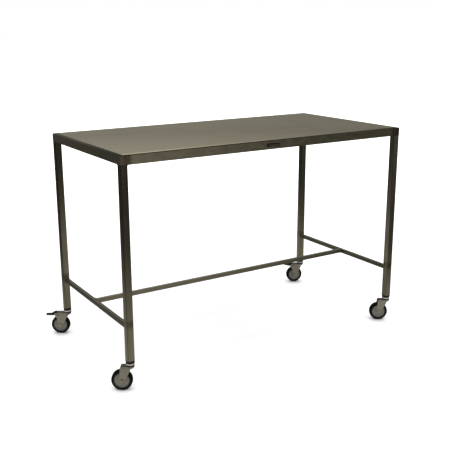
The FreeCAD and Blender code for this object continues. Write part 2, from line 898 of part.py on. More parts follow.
def build():
    """Every sub-part of the table."""
    top_sheet()
    top_stiffener()
    frame_rail("front_rail", True, -1)
    frame_rail("rear_rail", True, 1)
    frame_rail("left_rail", False, 1)
    frame_rail("right_rail", False, -1)
    end_brace("left_brace", -1)
    end_brace("right_brace", 1)
    long_stretcher()
    blank_plate()
    for name, side_x, side_y, brake in CASTERS:
        leg(name, side_x, side_y)
        caster(name, side_x, side_y, brake)
    swivel_balls()
    doc.recompute()


def check():
    """Stop if any object failed or any node's shape isn't a sound solid."""
    for item in doc.Objects:
        if "Invalid" in item.State or "Error" in item.State:
            raise RuntimeError(f"{item.Label} failed: {item.State}")
    for node in NODES:
        shape = node.Shape
        if shape.isNull() or not shape.isValid() or not shape.Solids:
            raise RuntimeError(f"{node.Label} has no sound shape")


def write():
    """Write each node to a STEP file of its own."""
    os.makedirs("parts", exist_ok=True)
    for node in NODES:
        node.Shape.exportStep(f"parts/{node.Label}.step")
        box = node.Shape.BoundBox
        print(f"{node.Label:28s} {len(node.Shape.Solids):3d} {node.Shape.Volume:12.1f} {box}")


build()
check()
write()
print(f"{len(NODES)} nodes")
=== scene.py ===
import json
import math

import bmesh
import bpy
from mathutils import Matrix, Vector


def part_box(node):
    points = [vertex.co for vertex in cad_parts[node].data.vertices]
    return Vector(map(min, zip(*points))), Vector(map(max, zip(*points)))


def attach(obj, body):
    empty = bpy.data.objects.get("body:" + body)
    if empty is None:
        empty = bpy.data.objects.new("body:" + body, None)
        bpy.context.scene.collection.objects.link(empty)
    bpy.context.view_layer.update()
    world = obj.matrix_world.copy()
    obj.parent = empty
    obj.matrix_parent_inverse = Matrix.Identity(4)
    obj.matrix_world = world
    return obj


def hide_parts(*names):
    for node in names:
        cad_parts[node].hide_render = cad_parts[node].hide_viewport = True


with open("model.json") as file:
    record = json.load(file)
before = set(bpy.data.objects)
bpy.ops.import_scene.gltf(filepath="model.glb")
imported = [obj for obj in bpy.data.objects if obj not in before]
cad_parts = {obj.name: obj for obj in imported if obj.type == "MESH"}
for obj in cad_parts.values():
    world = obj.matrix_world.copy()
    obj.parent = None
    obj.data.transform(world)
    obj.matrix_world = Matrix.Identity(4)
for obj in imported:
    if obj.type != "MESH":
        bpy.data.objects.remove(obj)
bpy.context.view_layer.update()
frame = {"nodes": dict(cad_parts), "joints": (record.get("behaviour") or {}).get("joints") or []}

UP = Vector((0, 0, 1))
NODES = frame["nodes"]
MM = 0.001
CORNERS = ("front_left", "front_right", "rear_left", "rear_right")


# ------------------------------------------------------------ how materials are put together


class Signal:
    """A number or vector that varies over a surface. Sums on signals add Math nodes."""

    def __init__(self, finish, socket):
        self.finish = finish
        self.socket = socket

    def combine(self, operation, left, right):
        """Put two numbers or signals through one Math node."""
        return self.finish.node("ShaderNodeMath", {"operation": operation}, {0: left, 1: right})

    def __add__(self, other):
        return self.combine("ADD", self, other)

    def __radd__(self, other):
        return self.combine("ADD", other, self)

    def __sub__(self, other):
        return self.combine("SUBTRACT", self, other)

    def __rsub__(self, other):
        return self.combine("SUBTRACT", other, self)

    def __mul__(self, other):
        return self.combine("MULTIPLY", self, other)

    def __rmul__(self, other):
        return self.combine("MULTIPLY", other, self)

    def __pow__(self, power):
        return self.combine("POWER", self, power)

    def __abs__(self):
        return self.finish.node("ShaderNodeMath", {"operation": "ABSOLUTE"}, {0: self})


class Finish:
    """A node tree being filled in, for a surface or for the world."""

    def __init__(self, tree):
        self.tree = tree
        self.point = None

    def node(self, kind, settings=None, sockets=None, outlet=0):
        """Add a node, set it up, fill its sockets with values or signals, and return one outlet."""
        made = self.tree.nodes.new(kind)
        for name, setting in (settings or {}).items():
            setattr(made, name, setting)
        for key, given in (sockets or {}).items():
            socket = made.inputs[key]
            if isinstance(given, Signal):
                self.tree.links.new(given.socket, socket)
            else:
                socket.default_value = given
        return Signal(self, made.outputs[outlet]) if made.outputs else None

    def feed(self, shader, socket, signal):
        """Link a signal to a shader's own socket."""
        self.tree.links.new(signal.socket, shader.inputs[socket])

    def place(self):
        """Where the shaded point lies, in metres."""
        if self.point is None:
            self.point = self.node("ShaderNodeTexCoord", outlet="Object")
        return self.point

    def part(self, axis):
        """One coordinate of the shaded point: X, Y or Z."""
        return self.node("ShaderNodeSeparateXYZ", None, {0: self.place()}, outlet=axis)

    def facing(self, axis):
        """One coordinate of the outward direction at the shaded point: X, Y or Z."""
        outward = self.node("ShaderNodeTexCoord", outlet="Normal")
        return self.node("ShaderNodeSeparateXYZ", None, {0: outward}, outlet=axis)

    def edges(self):
        """Near 0 on flat faces along the axes, up to 1 on the rounded edges between them, which the
        tubes darken as a painted dark reflection.
        """
        x, y, z = (abs(self.facing(axis)) for axis in "XYZ")
        return (x * y + y * z + z * x) * 2

    def distance(self, spot):
        """How far the shaded point lies from a spot, in metres."""
        apart = {"operation": "DISTANCE"}
        return self.node("ShaderNodeVectorMath", apart, {0: self.place(), 1: spot}, "Value")

    def noise(self, scales, detail=3, rough=0.55):
        """Noise from 0 to 1 with so many lumps to a metre along X, Y and Z."""
        spot = self.node("ShaderNodeMapping", None, {"Vector": self.place(), "Scale": scales})
        sockets = {"Vector": spot, "Scale": 1, "Detail": detail, "Roughness": rough}
        return self.node("ShaderNodeTexNoise", None, sockets)

    def rise(self, signal, start, end, low=0, high=1):
        """Go smoothly from low to high while a signal goes from start to end."""
        sockets = {0: signal, 1: start, 2: end, 3: low, 4: high}
        return self.node("ShaderNodeMapRange", {"interpolation_type": "SMOOTHSTEP"}, sockets)

    def blend(self, share, first, second):
        """Mix two colours, each a signal or a triple."""
        first, second = (c if isinstance(c, Signal) else (*c, 1) for c in (first, second))
        return self.node("ShaderNodeMix", {"data_type": "RGBA"}, {0: share, 6: first, 7: second}, 2)

    def scaled(self, colour, signal):
        """A colour made lighter or darker by a signal around 1."""
        grey = self.node("ShaderNodeCombineColor", None, {0: signal, 1: signal, 2: signal})
        settings = {"data_type": "RGBA", "blend_type": "MULTIPLY"}
        colour = colour if isinstance(colour, Signal) else (*colour, 1)
        return self.node("ShaderNodeMix", settings, {0: 1, 6: colour, 7: grey}, 2)


class Surface(Finish):
    """A material: its principled shader holds the constants, and signals feed what varies."""

    def __init__(self, name, metallic=0.0, **constants):
        self.material = bpy.data.materials.new(name)
        self.material.use_nodes = True
        super().__init__(self.material.node_tree)
        self.shader = self.tree.nodes["Principled BSDF"]
        self.shader.inputs["Metallic"].default_value = metallic
        for key, number in constants.items():
            self.shader.inputs[key.replace("_", " ")].default_value = number

    def finish(self, colour, roughness, height=None, relief=0.0):
        """Feed the colour, the roughness and, as relief in metres, the height."""
        self.feed(self.shader, "Base Color", colour)
        self.feed(self.shader, "Roughness", roughness)
        if height is not None:
            sockets = {"Height": height, "Distance": relief, "Strength": 1}
            self.feed(self.shader, "Normal", self.node("ShaderNodeBump", None, sockets))
        return self.material


# ------------------------------------------------------------------------ materials

ALONG_X = (1, 0, 0)
ALONG_Y = (0, 1, 0)
ALONG_Z = (0, 0, 1)
STEEL = (0.36, 0.333, 0.252)
HEATED = (0.42, 0.31, 0.21)


def stretch(grain, along, across):
    """Noise scales for marks that run along the grain."""
    return tuple(along if on else across for on in grain)


def brushed(name, grain, roughness, streaks, blotches, painted_light_and_marks=None, heat=None, **spread):
    """Satin brushed stainless steel, with grain, streaks and faint handling marks, and the painted
    light and shade that a part's own function adds.
    """
    steel = Surface(name, metallic=1, **spread)
    fine = steel.noise(stretch(grain, 14, 1500), 2)
    coarse = steel.noise(stretch(grain, 3, 240), 3)
    broad = steel.noise(stretch(grain, 1.3, 34), 2)
    cloud = steel.noise((5, 5, 5), 3)
    smear = steel.noise(stretch(grain, 9, 22), 4, 0.65)
    shade = 1 + (coarse - 0.5) * streaks * 1.4 + (broad - 0.5) * streaks + (fine - 0.5) * streaks
    shade = shade + (cloud - 0.5) * blotches * 2
    rough = roughness + (coarse - 0.5) * 0.12 + (smear - 0.5) * 0.14
    # A part's painted light and shade, with any grinding, smudges or weld marks of its own, scales the
    # colour.
    if painted_light_and_marks:
        shade = shade * painted_light_and_marks(steel)
    colour = steel.blend(heat(steel), STEEL, HEATED) if heat else STEEL
    return steel.finish(steel.scaled(colour, shade), rough, fine * 0.5 + coarse * 0.8, 0.02 * MM)


def top_painted_highlight(steel):
    """The top: a painted highlight along its rolled front edge, bright at the left and dimming towards
    the right.
    """
    x, y = steel.part("X"), steel.part("Y")
    low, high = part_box("top_sheet")
    # Painted highlight: the front rim is lightened most at the left, and a touch darkened at the right
    # end.
    rim = steel.rise(y, low.y + 2 * MM, low.y + 11 * MM, 1, 0)
    highlight_fade = steel.rise(x, -0.5, 0.35, 0.75, -0.1)
    return 0.95 + rim * highlight_fade


def rail_top(steel):
    """Near 1 on a rail's sides, and low on its top."""
    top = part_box("front_rail")[1].z
    return steel.rise(steel.part("Z"), top - 1.9 * MM, top - 0.6 * MM, 1, 0.1)


def rail_corner(steel):
    """1 where a long rail is ground at its ends, 0 between them."""
    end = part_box("front_rail")[1].x
    return steel.rise(abs(steel.part("X")), end - 47 * MM, end - 31 * MM)


def rail_painted_shade_and_marks(steel):
    """The long rails: painted shade, darker to the right, dark on top, ground upright at the corners.
    """
    # Painted shade: the rails darken towards the right; the smudges and the ground corners are marks on
    # the steel.
    along = steel.rise(steel.part("X"), -0.55, 0.2, 0.76, 0.45)
    upright = steel.noise((300, 300, 9), 3)
    ground = 1 - rail_corner(steel) * (0.5 - (upright - 0.5) * 0.9)
    smudge = steel.rise(steel.noise((26, 26, 60), 3), 0.4, 0.62, 0.1, -0.16)
    return (along + smudge * 0.45) * ground * rail_top(steel)


def rail_heat(steel):
    """Brown heat marks in the ground corners of the long rails."""
    return rail_corner(steel) * steel.rise(steel.noise((70, 70, 45), 3), 0.35, 0.6, 0.1, 0.7)


def end_rail_painted_shade(steel):
    """The end rails: dark on top, with painted shade that makes them a little darker towards the front.
    """
    low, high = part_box("left_rail")
    # Painted shade: darker towards the front.
    return steel.rise(steel.part("Y"), low.y, high.y, 0.6, 0.84) * rail_top(steel)


def brace_mark(steel):
    """1 on the legs just above a welded brace, 0 elsewhere."""
    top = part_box("left_brace")[1].z
    return steel.rise(abs(steel.part("Z") - (top + 5 * MM)), 3 * MM, 22 * MM, 1, 0)


def leg_painted_shade_and_weld_marks(steel):
    """The legs: painted shade up under the top, a painted dark reflection on their rounded edges, and
    darker by the welded braces.
    """
    sideways = steel.part("X") - steel.part("Y")
    up = steel.rise(steel.part("Z"), 0.4, 0.78)
    # Painted shade near the top of each leg; the front right leg is painted lighter there.
    shade = 1 + up * steel.rise(sideways, 0.5, 0.8, -0.36, 0.35)
    patchy = steel.rise(steel.noise((60, 60, 60), 3), 0.35, 0.6, 0.2, 0.5)
    # The rounded edges carry a painted dark reflection; the darkening by the braces is weld marks.
    return shade * (1 - steel.edges() * 0.5) * (1 - brace_mark(steel) * patchy)


def leg_heat(steel):
    """Brown heat marks on the legs by the welded braces."""
    return brace_mark(steel) * steel.rise(steel.noise((90, 90, 60), 3), 0.4, 0.6, 0.1, 0.8)


def brace_painted_shade(steel):
    """The end braces: painted shade that darkens them all over, and a painted dark reflection on their
    rounded edges.
    """
    return steel.rise(steel.part("X"), -0.1, 0.1, 0.34, 0.42) - steel.edges() * 0.24


def stretcher_painted_shade(steel):
    """The long stretcher: painted shade, darker to the right, and a painted dark reflection on its
    rounded edges.
    """
    return steel.rise(steel.part("X"), -0.5, 0.5, 0.84, 0.62) * (1 - steel.edges() * 0.5)


def zinc(name, colour, roughness, banding=None, metallic=1.0):
    """Zinc plate on pressed steel: softly clouded, a little duller in patches."""
    plate = Surface(name, metallic=metallic)
    cloud = plate.noise((90, 90, 90), 4, 0.6)
    speck = plate.noise((900, 900, 900), 2)
    shade = 1 + (cloud - 0.5) * 0.35 + (speck - 0.5) * 0.12
    rough = roughness + (cloud - 0.5) * 0.25
    if banding:
        # banding scales the colour in bands: painted shade on the fork, a dark top on the upper race.
        shade = shade * banding(plate)
    return plate.finish(plate.scaled(colour, shade), rough, speck, 0.03 * MM)


def race_bands(plate):
    """The upper race: dark above, polished below."""
    return plate.rise(plate.part("Z"), 99.4 * MM, 100.4 * MM, 1, 0.05)


def fork_painted_shade(plate):
    """The fork: painted dark reflections on its crown, and painted shade in a band above and under its
    round head.
    """
    z = plate.part("Z")
    leg_low, leg_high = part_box("leg_rear_right")
    swivel = (leg_low + leg_high) / 2
    beside = abs(plate.part("X")) - swivel.x
    ahead = abs(plate.part("Y")) - swivel.y
    reach = (beside * beside + ahead * ahead) ** 0.5
    # Painted shade: the crown's upward faces, a band round the head and the head's underside are
    # darkened.
    head = plate.rise(reach, 15.7 * MM, 16.4 * MM, 1, 0)
    crown = plate.rise(z, 82 * MM, 90 * MM) * plate.rise(plate.facing("Z"), 0.2, 0.7, 0.25, 1)
    under = plate.rise(plate.facing("Z"), -0.8, -0.4, 0.8, 0)
    ring = plate.rise(z, 88.2 * MM, 89.2 * MM, 0, 0.8)
    return 1 - head * (ring + under) - (1 - head) * crown * 0.8


def moulded(name, colour, roughness, grit=1400, relief=0.04 * MM, wear=0.25, **gloss):
    """A moulded rubber or plastic: fine texture, with faint dust and scuffs."""
    skin = Surface(name, **gloss)
    texture = skin.noise((grit, grit, grit), 2)
    scuff = skin.noise((160, 160, 160), 5, 0.7)
    shade = 1 + (scuff - 0.5) * wear * 2 + (texture - 0.5) * 0.2
    rough = roughness + (scuff - 0.5) * 0.2
    return skin.finish(skin.scaled(colour, shade), rough, texture, relief)


LEVEL_GRAIN = {"Anisotropic": 0.85, "Anisotropic_Rotation": 0.25}
UPRIGHT_GRAIN = {"Anisotropic": 0.6}
MATT = {"Specular_IOR_Level": 0.08}
BLACK = (0.006, 0.006, 0.006)
BRUSHED_TOP = brushed(
    "brushed_top",
    ALONG_X,
    roughness=0.36,
    streaks=0.06,
    blotches=0.04,
    painted_light_and_marks=top_painted_highlight,
)
BRUSHED_RAIL = brushed(
    "brushed_rail_lengthwise",
    ALONG_X,
    roughness=0.5,
    streaks=0.16,
    blotches=0.16,
    painted_light_and_marks=rail_painted_shade_and_marks,
    heat=rail_heat,
    **LEVEL_GRAIN,
)
BRUSHED_END_RAIL = brushed(
    "brushed_rail_crosswise",
    ALONG_Y,
    roughness=0.45,
    streaks=0.24,
    blotches=0.1,
    painted_light_and_marks=end_rail_painted_shade,
    **LEVEL_GRAIN,
)
BRUSHED_LEG = brushed(
    "brushed_leg",
    ALONG_Z,
    roughness=0.33,
    streaks=0.42,
    blotches=0.12,
    painted_light_and_marks=leg_painted_shade_and_weld_marks,
    heat=leg_heat,
    **UPRIGHT_GRAIN,
)
BRUSHED_BRACE = brushed(
    "brushed_brace",
    ALONG_Y,
    roughness=0.34,
    streaks=0.2,
    blotches=0.1,
    painted_light_and_marks=brace_painted_shade,
)
BRUSHED_STRETCHER = brushed(
    "brushed_stretcher",
    ALONG_X,
    roughness=0.34,
    streaks=0.2,
    blotches=0.1,
    painted_light_and_marks=stretcher_painted_shade,
)
MILL_STEEL = brushed("mill_steel", ALONG_X, roughness=0.42, streaks=0.04, blotches=0.12)
WELD_STEEL = zinc("weld_steel", (0.3, 0.25, 0.18), 0.42)
FORK_ZINC = zinc("fork_zinc", (0.48, 0.45, 0.385), 0.38, banding=fork_painted_shade)
LEVER_ZINC = zinc("lever_zinc", (0.62, 0.60, 0.54), 0.3)
RACE_ZINC = zinc("race_zinc", (0.5, 0.48, 0.43), 0.2, banding=race_bands, metallic=0.4)
BOLT_STEEL = zinc("bolt_steel", (0.3, 0.27, 0.2), 0.3)
# A brighter copy of the bolt's zinc: a painted highlight on the bolt's dome.
DOME_ZINC_HIGHLIGHT = zinc("dome_zinc_painted_highlight", (0.66, 0.63, 0.56), 0.3)
TYRE_RUBBER = moulded("tyre_rubber", (0.0025, 0.0025, 0.0025), 0.6, **MATT)
LIP_RUBBER = moulded("lip_rubber", (0.07, 0.07, 0.062), 0.6, **MATT)
WHEEL_GREY = moulded("wheel_grey", (0.19, 0.18, 0.15), 0.42, grit=900, relief=0.02 * MM, wear=0.12)
INSERT_NYLON = moulded("insert_nylon", BLACK, 0.5, **MATT)
PEDAL_RUBBER = moulded("pedal_rubber", BLACK, 0.5, **MATT)
PLATE_DARK = moulded("plate_dark", (0.012, 0.01, 0.008), 0.5, **MATT)
# A greyer dark for the painted light in the label's recess.
PAINTED_LIT_RECESS = moulded("painted_lit_recess", (0.034, 0.031, 0.025), 0.4, **MATT)

FINISHES = {
    "top_sheet": BRUSHED_TOP,
    "top_stiffener": MILL_STEEL,
    "front_rail": BRUSHED_RAIL,
    "rear_rail": BRUSHED_RAIL,
    "left_rail": BRUSHED_END_RAIL,
    "right_rail": BRUSHED_END_RAIL,
    "left_brace": BRUSHED_BRACE,
    "right_brace": BRUSHED_BRACE,
    "long_stretcher": BRUSHED_STRETCHER,
    "blank_plate": PLATE_DARK,
    "leg": BRUSHED_LEG,
    "insert": INSERT_NYLON,
    "stem": BOLT_STEEL,
    "upper_race": RACE_ZINC,
    "swivel_balls": BOLT_STEEL,
    "fork": FORK_ZINC,
    "wheel_core": WHEEL_GREY,
    "tyre": TYRE_RUBBER,
    "axle_sleeve": BOLT_STEEL,
    "axle_bolt": BOLT_STEEL,
    "axle_nut": BOLT_STEEL,
    "brake_lever": LEVER_ZINC,
    "pedal_cover": PEDAL_RUBBER,
    "brake_pivot": BOLT_STEEL,
}


def coat(piece, material):
    """Give a piece one material and nothing else."""
    piece.data.materials.clear()
    piece.data.materials.append(material)


def coat_cad_nodes():
    """Give every CAD node its finish, by its name or by the name its four corners share."""
    for name, node in NODES.items():
        kind = name
        for corner in CORNERS:
            kind = kind.removesuffix(f"_{corner}")
        coat(node, FINISHES[kind])


# ------------------------------------------------------------------------ shaping pieces


def soften(shape, sharp=35):
    """Shade smooth but for edges that turn by more than so many degrees."""
    limit = math.radians(sharp)
    for face in shape.faces:
        face.smooth = True
    for edge in shape.edges:
        edge.smooth = len(edge.link_faces) == 2 and edge.calc_face_angle(0) < limit


def piece(name, shape, material, body, slot=None, sharp=35):
    """Make a finished shape a piece of the table that moves with a body."""
    soften(shape, sharp)
    mesh = bpy.data.meshes.new(name)
    shape.to_mesh(mesh)
    shape.free()
    made = bpy.data.objects.new(name, mesh)
    bpy.context.collection.objects.link(made)
    coat(made, material)
    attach(made, body)
    return made


def block(low, high):
    """A box between two corners."""
    shape = bmesh.new()
    bmesh.ops.create_cube(shape, size=1)
    low, high = Vector(low), Vector(high)
    bmesh.ops.scale(shape, vec=high - low, verts=shape.verts)
    bmesh.ops.translate(shape, vec=(low + high) / 2, verts=shape.verts)
    return shape


def round_off(shape, edges, width, segments):
    """Round some edges of a shape."""
    edges = list(edges)
    bmesh.ops.bevel(
        shape, geom=edges, offset=width, segments=segments, affect="EDGES", profile=0.5, material=-1
    )


def spun(profile, steps=64):
    """A closed profile of (radius, height) turned about Z."""
    shape = bmesh.new()
    points = [shape.verts.new((radius, 0, height)) for radius, height in profile]
    rim = [shape.edges.new((a, b)) for a, b in zip(points, points[1:] + points[:1])]
    bmesh.ops.spin(
        shape, geom=points + rim, axis=UP, cent=(0, 0, 0), angle=math.tau, steps=steps, use_merge=True
    )
    bmesh.ops.remove_doubles(shape, verts=shape.verts, dist=0.001 * MM)
    bmesh.ops.recalc_face_normals(shape, faces=shape.faces)
    return shape


def slab(outline, width):
    """An outline of (X, Z) points extruded to both sides along Y."""
    shape = bmesh.new()
    face = shape.faces.new([shape.verts.new((x, -width / 2, z)) for x, z in outline])
    grown = bmesh.ops.extrude_face_region(shape, geom=[face])
    moved = [item for item in grown["geom"] if isinstance(item, bmesh.types.BMVert)]
    bmesh.ops.translate(shape, vec=(0, width, 0), verts=moved)
    bmesh.ops.recalc_face_normals(shape, faces=shape.faces)
    return shape


def mirrored(half):
    """A half profile of (radius, height) and its mirror image below, as one closed profile."""
    return list(half) + [(radius, -height) for radius, height in reversed(half)]


def in_mm(profile):
    """A profile given in millimetres, in metres."""
    return [(across * MM, up * MM) for across, up in profile]


def join(shape, other):
    """Add another shape to a shape."""
    mesh = bpy.data.meshes.new("joined")
    other.to_mesh(mesh)
    other.free()
    shape.from_mesh(mesh)
    bpy.data.meshes.remove(mesh)


# ------------------------------------------------------------------------ the table's top

SHEET_CORNER = 4 * MM
SHEET_EDGE = 0.9 * MM
LABEL_RIM = 2.2 * MM
LABEL_DEPTH = 0.55 * MM
LABEL_EDGE = 0.12 * MM


def top_panel():
    """The top sheet, its rim softly rolled."""
    shape = block(*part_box("top_sheet"))
    upright = [edge for edge in shape.edges if abs(edge.verts[0].co.z - edge.verts[1].co.z) > 0.1 * MM]
    round_off(shape, upright, SHEET_CORNER, 5)
    top = max(vert.co.z for vert in shape.verts)
    rim = [
        edge for edge in shape.edges
        if edge.calc_face_angle(0) > 1 and all(vert.co.z > top - 0.01 * MM for vert in edge.verts)
    ]
    round_off(shape, rim, SHEET_EDGE, 3)
    made = piece("top_panel", shape, BRUSHED_TOP, "root", "brushed_top")
    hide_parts("top_sheet")


def blank_label():
    """The blank plate on the front rail: a dark rim round a recess; a greyer patch at the recess's
    lower right is painted light, and the dark strips above and left of it are painted shade.
    """
    low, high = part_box("blank_plate")
    shape = block(low, high)
    front = min(shape.faces, key=lambda face: face.calc_center_median().y)
    bmesh.ops.inset_individual(shape, faces=[front], thickness=LABEL_RIM, depth=0)
    bmesh.ops.translate(shape, vec=(0, LABEL_DEPTH, 0), verts=front.verts)
    rim = [edge for edge in shape.edges if edge.calc_face_angle(0) > 0.5]
    round_off(shape, rim, LABEL_EDGE, 2)
    made = piece("blank_label", shape, PLATE_DARK, "root", "plate_dark")
    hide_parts("blank_plate")
    # Painted light: a greyer patch at the lower right of the recess, leaving painted shade along its
    # top and left.
    left_below = low + Vector((9, 0.2, 1.6)) * MM
    right_above = Vector((high.x, low.y, low.z)) + Vector((-2, 0.7, 6.4)) * MM
    lit_patch = block(left_below, right_above)
    round_off(lit_patch, lit_patch.edges, 0.08 * MM, 2)
    piece("label_painted_lit_patch", lit_patch, PAINTED_LIT_RECESS, "root", "plate_dark")


# ------------------------------------------------------------------------ welds

BEAD_RADIUS = 1.6 * MM
RIPPLE = 2.1 * MM
RIPPLE_STEPS = 4
RIPPLE_HEIGHT = 0.16


def bead(shape, start, end):
    """A straight run of rippled weld between two points."""
    start, end = Vector(start), Vector(end)
    run = end - start
    steps = max(6, round(run.length / RIPPLE * RIPPLE_STEPS))
    turn = run.to_track_quat("Z", "Y").to_matrix().to_4x4()
    stand = Matrix.Translation(start) @ turn
    ring = bmesh.ops.create_circle(shape, cap_ends=True, segments=10, radius=BEAD_RADIUS, matrix=stand)
    ends = list(ring["verts"][0].link_faces)
    size = 1.0
    for step in range(1, steps + 1):
        grown = bmesh.ops.extrude_face_region(shape, geom=ends)
        if step > 1:
            bmesh.ops.delete(shape, geom=ends, context="FACES_ONLY")
        verts = [item for item in grown["geom"] if isinstance(item, bmesh.types.BMVert)]
        ends = [item for item in grown["geom"] if isinstance(item, bmesh.types.BMFace)]
        bmesh.ops.translate(shape, vec=run / steps, verts=verts)
        wanted = 1 + RIPPLE_HEIGHT * math.sin(step * math.tau / RIPPLE_STEPS)
        middle = start + run * step / steps
        bmesh.ops.scale(shape, vec=(wanted / size,) * 3, verts=verts, space=Matrix.Translation(-middle))
        size = wanted


def ring_of_beads(shape, centre, half, normal):
    """Beads round the square end of a tube."""
    sides = [axis for axis in (Vector((1, 0, 0)), Vector((0, 1, 0)), UP) if abs(axis.dot(normal)) < 0.5]
    first, second = sides
    corners = [
        centre + first * half * a + second * half * b for a, b in ((-1, -1), (1, -1), (1, 1), (-1, 1))
    ]
    for start, end in zip(corners, corners[1:] + corners[:1]):
        bead(shape, start, end)


def brace_welds():
    """Weld round both ends of each brace and of the stretcher."""
    for name, along in (("left_brace", 1), ("right_brace", 1), ("long_stretcher", 0)):
        low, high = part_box(name)
        middle = (low + high) / 2
        half = (high.z - low.z) / 2
        for end, spot in (("near", low), ("far", high)):
            centre = middle.copy()
            centre[along] = spot[along]
            normal = Vector((0, 0, 0))
            normal[along] = 1
            shape = bmesh.new()
            ring_of_beads(shape, centre, half, normal)
            bmesh.ops.recalc_face_normals(shape, faces=shape.faces)
            piece(f"weld_{name}_{end}", shape, WELD_STEEL, "root")


def leg_welds():
    """Weld in the two inner corners where each leg meets the frame."""
    for corner in CORNERS:
        low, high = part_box(f"leg_{corner}")
        inner_x, outer_x = sorted((low.x, high.x), key=abs)
        inner_y, outer_y = sorted((low.y, high.y), key=abs)
        shape = bmesh.new()
        bead(shape, (inner_x, outer_y, high.z), (inner_x, inner_y, high.z))
        bead(shape, (outer_x, inner_y, high.z), (inner_x, inner_y, high.z))
        bmesh.ops.recalc_face_normals(shape, faces=shape.faces)
        piece(f"weld_leg_{corner}", shape, WELD_STEEL, "root")


# ------------------------------------------------------------------------ casters

class Caster:
    """Where one caster stands: its frames along the trail and about the axle."""

    def __init__(self, corner):
        joints = {joint["name"]: joint for joint in frame["joints"]}
        swivel, spin = joints[f"swivel_{corner}"], joints[f"spin_{corner}"]
        self.corner = corner
        self.on_body = f"swivel_{corner}"
        self.foot = Vector((*swivel["pos_m"][:2], 0))
        self.centre = Vector(spin["pos_m"])
        self.axle = Vector(spin["axis"]).normalized()
        self.trail = self.axle.cross(UP)
        if f"pedal_{corner}" in joints:
            self.pivot = Vector(joints[f"pedal_{corner}"]["pos_m"])

    def on_fork(self, shape):
        """Move a shape from the fork's frame, X along the trail and Y along the axle."""
        self.lay(shape, (self.trail, self.axle, UP), self.foot)

    def on_wheel(self, shape):
        """Move a shape from the wheel's frame, Z along the axle."""
        self.lay(shape, (self.trail, self.axle.cross(self.trail), self.axle), self.centre)

    def on_pedal(self, shape):
        """Move a shape from the fork's frame, and lift it about the brake's pivot."""
        self.on_fork(shape)
        lift = Matrix.Rotation(-PEDAL_LIFT[self.corner], 3, self.axle)
        bmesh.ops.rotate(shape, cent=self.pivot, matrix=lift, verts=shape.verts)

    @staticmethod
    def lay(shape, axes, origin):
        """Turn a shape to three axes and move it to an origin."""
        turn = Matrix(axes).transposed().to_4x4()
        bmesh.ops.transform(shape, matrix=Matrix.Translation(origin) @ turn, verts=shape.verts)


# Sections of the wheel and outlines of the pedal, in millimetres
TREAD_RADIUS = 37.5
SHOULDER = 4.0
TYRE_HALF = 10.5
LIP_PROFILE = ((24, 9.3), (24.8, 10.3), (26.6, 10.3), (27.1, 9.7), (27.9, 9.7), (28.4, 10.2))


def tyre_profile():
    """Half the tyre's section, in millimetres: sidewall, shoulder and crowned tread."""
    turns = [math.radians(10 + 80 * step / 6) for step in range(7)]
    centre_radius, centre_height = TREAD_RADIUS - SHOULDER - 0.25, TYRE_HALF - SHOULDER
    shoulder = [
        (centre_radius + SHOULDER * math.sin(turn), centre_height + SHOULDER * math.cos(turn))
        for turn in turns
    ]
    return [(28.42, 10.4)] + shoulder + [(TREAD_RADIUS - 0.08, 3.4), (TREAD_RADIUS, 0.6)]


WHEEL_PROFILE = (
    (5.05, 11.9),
    (8.3, 11.9),
    (9.0, 11.2),
    (9.6, 7.6),
    (10.6, 6.9),
    (14.6, 6.9),
    (15.1, 7.4),
    (16.1, 7.4),
    (16.6, 6.9),
    (19.0, 6.9),
    (20.2, 7.8),
    (20.7, 9.2),
    (21.3, 9.6),
    (23.3, 9.6),
    (24.0, 9.2),
)
PAD_OUTLINE = (
    (45, 84),
    (45.5, 88.9),
    (46.6, 90.9),
    (48.6, 91.6),
    (51.4, 91.5),
    (53.6, 90.8),
    (56, 89.1),
    (60, 87.1),
    (64.5, 83.5),
    (67, 82.1),
    (70, 81.5),
    (86, 81.1),
    (87.6, 80.7),
    (87.8, 79.2),
    (86, 78.1),
    (74, 76.9),
    (72, 77.4),
    (72, 80.2),
    (67, 79),
    (54, 80),
)
PAD_WIDTH = 19.6 * MM
PAD_EDGE = 0.6 * MM
RIB_HALF = 0.6 * MM
RIB_EDGE = 0.35 * MM
# How far each pedal stands above its half-way place, as the CAD pedals do
PEDAL_LIFT = {"rear_left": 0.0, "rear_right": math.radians(14)}
# How far the face of the bolt's head stands from the wheel's middle, in millimetres
BOLT_FACE = 18.5
# How far the fork's outer faces stand from the wheel's middle, in millimetres
FORK_FACE = 14.5


def tyre_and_centre(caster):
    """The rubber tyre with its greyer lip, and the grey wheel centre."""
    body = f"wheel_{caster.corner}"
    tyre = spun(in_mm(mirrored(tyre_profile())), 96)
    caster.on_wheel(tyre)
    made = piece(f"tyre_ring_{caster.corner}", tyre, TYRE_RUBBER, body, "tyre_rubber", 28)
    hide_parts(f"tyre_{caster.corner}")
    lip = spun(in_mm(mirrored(LIP_PROFILE)), 96)
    caster.on_wheel(lip)
    piece(f"tyre_lip_{caster.corner}", lip, LIP_RUBBER, body, "tyre_rubber", 28)
    centre = spun(in_mm(mirrored(WHEEL_PROFILE)), 72)
    caster.on_wheel(centre)
    made = piece(f"wheel_centre_{caster.corner}", centre, WHEEL_GREY, body, "wheel_grey", 28)
    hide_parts(f"wheel_core_{caster.corner}")


def axle_washers(caster):
    """A thin washer under the bolt's head and one under the nut."""
    thickness = 0.9
    for side, low in (("front", FORK_FACE), ("rear", -FORK_FACE - thickness)):
        rim = ((7.0, low), (7.2, low + 0.2), (7.2, low + 0.7), (7.0, low + thickness))
        shape = spun(in_mm(((3.1, low), *rim, (3.1, low + thickness))), 40)
        caster.on_wheel(shape)
        piece(f"washer_{side}_{caster.corner}", shape, BOLT_STEEL, caster.on_body, "bolt_steel")


